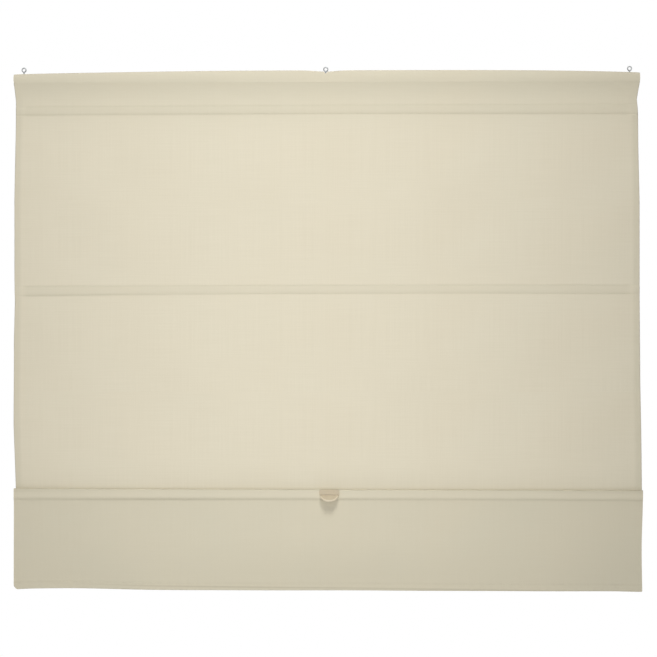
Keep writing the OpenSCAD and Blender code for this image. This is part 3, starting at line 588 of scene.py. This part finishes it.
def flap_drop(x, z):
    """How far the flap is out of its plan: its row bows up, its left part is drawn up and its
    corners drop."""
    heights = (-bar_top, -bar_row, -flap_foot)
    at_top, at_row, at_foot = (np.interp(-z, heights, part) for part in np.eye(3))
    row_bow = 1.6 - 1.6 * (x / half_width) ** 2
    foot_bow = 2.6 * np.exp(-((x + 490) / 120) ** 2) - 1.1
    corners = 0.9 * np.exp(-((x + 600) / 18) ** 2) + 1.2 * np.exp(-((x - 604) / 40) ** 2)
    return at_top * sag(x, bar_top) + at_row * row_bow + at_foot * (foot_bow - corners)


def flap_front(z):
    """How far forward the front layer lies: it eases back below the bar."""
    return -8.82 - 2.4 * np.exp((z - bar_row) / 22)


# Its section as (depth, height): over the bar, down the front, round the foot and up the back.
over_front = [(-11.4, -804.9), (-12.5, -805.2), (-13.1, -806.5), (-13.2, -808.5), (-13.2, -812),
              (-13.2, -816), (-13.2, -819), (-13.05, -821), (-12.6, -822.6), (-11.9, -823.9)]
drop = np.concatenate([
    np.linspace(band_foot, -845, 9), np.linspace(-852, -976, 22), np.linspace(-979, -995, 17)])
foot = [(-8.8, -995.6), (foot_turn, -996.55), (-8.0, -995.6)]
over_back = [(flap_back, z) for z in (-823, -819, -814, -809)]
over_back += [(-8.1, -806.8), (-8.8, -805.25), (-10, -804.9)]
section = over_front + [(flap_front(z), z) for z in drop] + foot
section += [(flap_back, z) for z in drop[::-1]] + over_back
points, doubled, groove = [], [], []
share = np.linspace(0, 1, 301)
for y, z in section:
    trims = [round_off - math.sqrt(round_off ** 2 - max(0, round_off + flap_foot - z) ** 2)
             for round_off in flap_corners]
    left, right = trims[0] - flap_edge(z, -1), flap_edge(z, 1) - trims[1]
    x = left + share * (right - left)
    points.append(np.stack([x, y + flap_middle(x, z), z + flap_drop(x, z)], -1))
    # Painted shade: the flap is darker where two layers stop the light coming through, a little
    # less over the bar.
    over_bar = math.exp(-((z + 814.5) / 6.5) ** 4)
    doubled.append(np.full_like(x, 1 - 0.25 * over_bar))
    # Painted shade along the bar's row and the hem row, at the crest where the flap folds over the
    # bar, darker towards the foot, and along a line just above the foot where the front layer turns
    # under.
    front = y < foot_turn
    shade_strength = 0.95 * np.exp(-((x + 310) / 170) ** 2) + 0.5 * np.exp(-((x - 20) / 130) ** 2)
    shade_strength = shade_strength * np.clip((594 - abs(x)) / 16, 0, 1)
    line = shade_strength * math.exp(-((z - bar_row) / 2) ** 2)
    line = line + 0.25 * math.exp(-((z - hem_row) / 1.6) ** 2)
    out = (x / half_width) ** 4
    crest = (0.5 + 0.3 * out) * np.exp(-((z + 804.7) / (2.6 + 2.8 * out)) ** 2)
    towards_foot = 0.3 * np.clip((-895 - z) / 70, 0, 1) * np.exp(-(x / 420) ** 2)
    turned = 1.1 * np.exp(-((x + 180) / 240) ** 2) + 0.8 * np.exp(-((x - 240) / 200) ** 2)
    foot_crease_shade = turned * np.exp(-((z - flap_foot - 4.9 + 0.0085 * x) / 1.4) ** 2)
    groove.append((line + towards_foot + foot_crease_shade) * front + crest)
flap = make_sheet("flap_cloth", np.array(points), cloth_thick, np.array(doubled), np.array(groove),
                  closed=True)
flap.data.materials.append(cotton)
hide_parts("bottom_flap")
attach(flap, "bar_set")

# Sewing
# Lockstitch in thread of the cloth's colour holds the pockets, hems and bar.
# One stitch is modelled and repeated along every row, 3.2 mm apart.
stitch_pitch, thread_thick = 3.2, 0.5
straight, end_reach, end_dip = 1.2, 0.7, 0.3


def pick_faces(piece, wanted):
    """Selects the faces that the test wants, in edit mode."""
    mesh = bmesh.from_edit_mesh(piece.data)
    for face in mesh.faces:
        face.select_set(wanted(face))
    bmesh.update_edit_mesh(piece.data)


bpy.ops.object.select_all(action="DESELECT")
bpy.ops.mesh.primitive_cylinder_add(
    vertices=6, radius=thread_thick / 2 * mm, depth=straight * mm, rotation=(0, math.pi / 2, 0))
stitch = bpy.context.object
bpy.ops.object.transform_apply(location=True, rotation=True, scale=True)
bpy.ops.object.mode_set(mode="EDIT")
bpy.ops.mesh.select_mode(type="FACE")
for side in (-1, 1):
    pick_faces(stitch, lambda face: face.normal.x * side > 0.9)
    bpy.ops.mesh.extrude_region_move(
        TRANSFORM_OT_translate={"value": (side * end_reach * mm, end_dip * mm, 0)})
    tip = (side * (straight / 2 + end_reach) * mm, end_dip * mm, 0)
    bpy.ops.transform.resize(value=(1, 0.6, 0.6), center_override=tip)

# Extruding leaves a stitch's points, edges and faces in no fixed order, so a skew line sorts them.
skew = (1, 0.31, 0.17)
mesh = bmesh.from_edit_mesh(stitch.data)
mesh.verts.sort(key=lambda point: np.dot(point.co, skew))
for parts in (mesh.edges, mesh.faces):
    parts.sort(key=lambda part: np.mean([np.dot(point.co, skew) for point in part.verts]))
bmesh.update_edit_mesh(stitch.data)
bpy.ops.object.mode_set(mode="OBJECT")
bpy.ops.object.shade_smooth()

# Polyester thread: the cloth's beige, a little deeper and silkier, its twist drawn 0.7 mm apart.
thread = new_finish("polyester_thread")
where = add(thread, "TexCoord").outputs["Object"]
twist = add(thread, "TexWave", {"bands_direction": "DIAGONAL"}, {
    "Vector": where, "Scale": one_wave / (0.7 * mm), "Distortion": 0.3})
shade = add(thread, "Mix", {"data_type": "RGBA"}, {
    0: twist.outputs[1], 6: linear("#D4CBB3"), 7: linear("#DED6C0")})
bumps = add(thread, "Bump", {}, {"Height": twist.outputs[1], "Strength": 0.4, "Distance": 0.1 * mm})
silk = add(thread, "MapRange", {}, {0: twist.outputs[1], 3: 0.5, 4: 0.68})
yarn = add(thread, "BsdfPrincipled", {}, {
    "Base Color": shade.outputs[2], "Roughness": silk.outputs[0], "Normal": bumps.outputs[0],
    "IOR": 1.55})
add(thread, "OutputMaterial", {}, {"Surface": yarn.outputs[0]})


def sew(name, begin, end, lie, body):
    """A row of stitches between two (x, z) points in mm; lie gives the cloth's depth and slip."""
    row = stitch.copy()
    row.data = stitch.data.copy()
    row.name = row.data.name = name
    bpy.context.scene.collection.objects.link(row)
    bpy.ops.object.select_all(action="DESELECT")
    row.select_set(True)
    bpy.context.view_layer.objects.active = row
    run = np.subtract(end, begin)
    length = np.hypot(*run)
    repeat = row.modifiers.new("stitches", "ARRAY")
    repeat.count = int(length / stitch_pitch)
    repeat.use_relative_offset = False
    repeat.use_constant_offset = True
    repeat.constant_offset_displace = (stitch_pitch * mm, 0, 0)
    bpy.ops.object.modifier_apply(modifier=repeat.name)
    spots = np.zeros(len(row.data.vertices) * 3)
    row.data.vertices.foreach_get("co", spots)
    along, out, beside = (spots.reshape(-1, 3) / mm).T
    way = run / length
    x = begin[0] + way[0] * (along + stitch_pitch / 2) - way[1] * beside
    z = begin[1] + way[1] * (along + stitch_pitch / 2) + way[0] * beside
    y, slip = lie(x, z)
    spots = np.stack([x, y + out, z + slip], -1) * mm
    row.data.vertices.foreach_set("co", spots.ravel())
    row.data.update()
    row.data.materials.append(thread)
    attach(row, body)
    return row


on_cloth = cloth_thick / 2 + 0.05


def on_shade(x, z):
    """The front of the shade cloth."""
    return cloth_middle(x, z) - on_cloth, sag(x, z)


def on_flap(x, z):
    """The front of the flap."""
    return flap_front(z) + flap_middle(x, z) - on_cloth, flap_drop(x, z)


pocket_row_end, flap_row_left, flap_row_right = 581, -596, 600
for name, z, body in (("upper_pocket_row_1", upper_row_1, "headrail_set"),
                      ("upper_pocket_row_2", upper_row_2, "headrail_set"),
                      ("middle_pocket_row_1", middle_row_1, "middle_set"),
                      ("middle_pocket_row_2", middle_row_2, "middle_set")):
    sew(name, (-pocket_row_end, z), (pocket_row_end, z), on_shade, body)
for name, z in (("bar_pocket_row", bar_row), ("flap_hem_row", hem_row)):
    sew(name, (flap_row_left, z), (flap_row_right, z), on_flap, "bar_set")
inset, flap_inset = side_turn - 1.8, 9.5
for side, word in ((-1, "left"), (1, "right")):
    for name, row, middle, body in half_panels:
        begin = (side * (side_edge(row, side) - inset), row)
        end = (side * (side_edge(middle, side) - inset), middle)
        hem = sew(f"hem_{word}_{name}", begin, end, on_shade, body)
        fold_up(hem)
    edge = side * (flap_edge(bar_row, side) - flap_inset)
    sew(f"hem_{word}_flap", (edge, -828), (edge, -982), on_flap, "bar_set")
bpy.data.objects.remove(stitch)

# Pull handle, back plate and screws
# A moulded pull with a drooping lip, clamped through cloth and bar by two
# screws into a plate behind.

# Beige ABS: tinted to the cloth but browner, satin, with the same spark texture as the caps,
# painted with a highlight along the bead and with shade in the groove and other hollows.
lip_root = (7 * mm, -16 * mm, -815.3 * mm)
bead_inside, bead_crest = 14.4 * mm, 15.6 * mm
beige_moulding = new_finish("moulded_beige_abs")
where = add(beige_moulding, "TexCoord").outputs["Object"]
flow = add(beige_moulding, "TexNoise", {}, {"Vector": where, "Scale": 1 / (7 * mm), "Detail": 3})
spark = add(beige_moulding, "TexNoise", {}, {
    "Vector": where, "Scale": 1 / (0.35 * mm), "Detail": 1})
beige = add(beige_moulding, "Mix", {"data_type": "RGBA"}, {
    0: flow.outputs[0], 6: linear("#C6B89D"), 7: linear("#CFC2A8")})
apart = add(beige_moulding, "VectorMath", {"operation": "DISTANCE"}, {0: where, 1: lip_root})
on_bead = add(beige_moulding, "MapRange", {}, {
    0: apart.outputs["Value"], 1: bead_inside, 2: bead_crest})
height = add(beige_moulding, "SeparateXYZ", {}, {0: where})
on_lip = add(beige_moulding, "MapRange", {}, {
    0: height.outputs[2], 1: lip_root[2], 2: lip_root[2] - 1.2 * mm})
# Painted highlight: the bead is paler along the top of the lip.
bead_highlight = add(beige_moulding, "Math", {"operation": "MULTIPLY"}, {
    0: on_bead.outputs[0], 1: on_lip.outputs[0]})
highlighted = add(beige_moulding, "Mix", {"data_type": "RGBA"},
           {0: bead_highlight.outputs[0], 6: beige.outputs[2], 7: linear("#DFD3BA")})
# Painted shade: hollows such as the groove are darker.
open_air = add(beige_moulding, "AmbientOcclusion", {"samples": 8, "only_local": True}, {
    "Distance": 3 * mm})
recess_shade = add(beige_moulding, "MapRange", {}, {
    0: open_air.outputs["AO"], 1: 0.9, 2: 0.35, 3: 0.0, 4: 0.25})
recess_shaded = add(beige_moulding, "Mix", {"data_type": "RGBA"},
             {0: recess_shade.outputs[0], 6: highlighted.outputs[2], 7: linear("#9C8D72")})
gloss = add(beige_moulding, "MapRange", {}, {0: flow.outputs[0], 3: 0.36, 4: 0.48})
bumps = add(beige_moulding, "Bump", {}, {
    "Height": spark.outputs[0], "Strength": 0.2, "Distance": 0.04 * mm})
plastic = add(beige_moulding, "BsdfPrincipled", {}, {
    "Base Color": recess_shaded.outputs[2], "Roughness": gloss.outputs[0], "Normal": bumps.outputs[0],
    "IOR": 1.53})
add(beige_moulding, "OutputMaterial", {}, {"Surface": plastic.outputs[0]})
coat(beige_moulding, "handle")
coat(white_moulding, "handle_back_plate")
coat(zinc_plate, "handle_screws")

# Studio
# A pale matt floor below the hanging blind, a soft light above and in front of it, a
# weaker one lower down, a broad one behind, and a world that looks white to the camera.

# Matt board: off-white with very faint clouds; a glow for the camera alone makes it look white.
pale_floor = new_finish("matt_pale_floor")
where = add(pale_floor, "TexCoord").outputs["Object"]
cloud = add(pale_floor, "TexNoise", {}, {"Vector": where, "Scale": 2.0, "Detail": 2})
pale = add(pale_floor, "Mix", {"data_type": "RGBA"}, {
    0: cloud.outputs[0], 6: linear("#F1F1EF"), 7: linear("#F6F6F4")})
matt = add(pale_floor, "BsdfPrincipled", {}, {
    "Base Color": pale.outputs[2], "Roughness": 0.9, "Specular IOR Level": 0.1})
path = add(pale_floor, "LightPath")
lift = add(pale_floor, "Math", {"operation": "MULTIPLY"}, {
    0: path.outputs["Is Camera Ray"], 1: 0.6})
glow = add(pale_floor, "Emission", {}, {"Color": pale.outputs[2], "Strength": lift.outputs[0]})
both = add(pale_floor, "AddShader", {}, {0: matt.outputs[0], 1: glow.outputs[0]})
add(pale_floor, "OutputMaterial", {}, {"Surface": both.outputs[0]})
bpy.ops.object.select_all(action="DESELECT")
bpy.ops.mesh.primitive_circle_add(vertices=96, radius=2.2, fill_type="NGON", location=(0, 0, -1.8))
floor = bpy.context.object
floor.name = "studio_floor"
floor.data.materials.append(pale_floor)

for name, place, aim, size, power in (
        ("top_light", (0.06, -1.431, 0.914), (-0.86, 0, -1.05), (0.8, 0.6), 25.7),
        ("front_light", (-0.054, -1.188, -0.819), (-0.054, 0, -0.819), (0.8, 0.8), 6.9),
        ("back_light", (0.4, 2.6, 0.5), (0, 0, -0.5), (2, 2), 45)):
    lamp = bpy.data.lights.new(name, "AREA")
    lamp.shape = "RECTANGLE"
    lamp.size, lamp.size_y = size
    lamp.energy = power
    holder = bpy.data.objects.new(name, lamp)
    bpy.context.scene.collection.objects.link(holder)
    holder.location = place
    sight = holder.location.copy()
    sight.xyz = [a - p for a, p in zip(aim, place)]
    holder.rotation_euler = sight.to_track_quat("-Z", "Y").to_euler()

world = bpy.data.worlds.new("white_studio")
world.use_nodes = True
world.node_tree.nodes.clear()
path = add(world, "LightPath")
seen = add(world, "Math", {"operation": "MAXIMUM"}, {
    0: path.outputs["Is Camera Ray"], 1: path.outputs["Is Glossy Ray"]})
seen = add(world, "Math", {"operation": "MAXIMUM"}, {
    0: seen.outputs[0], 1: path.outputs["Is Transmission Ray"]})
level = add(world, "MapRange", {}, {0: seen.outputs[0], 3: 0.1, 4: 1.0})
sky = add(world, "Background", {}, {"Color": (1, 1, 1, 1), "Strength": level.outputs[0]})
add(world, "OutputWorld", {}, {"Surface": sky.outputs[0]})
bpy.context.scene.world = world
bpy.context.scene.view_settings.view_transform = "Standard"

eye = bpy.data.cameras.new("camera")
eye.lens, eye.sensor_width = 93.91, 36
camera = bpy.data.objects.new("camera", eye)
bpy.context.scene.collection.objects.link(camera)
camera.location = (0.0689, -3.2852, -0.4791)
camera.rotation_euler = (math.pi / 2 - 0.005279, 0, 0.019374)
bpy.context.scene.camera = camera
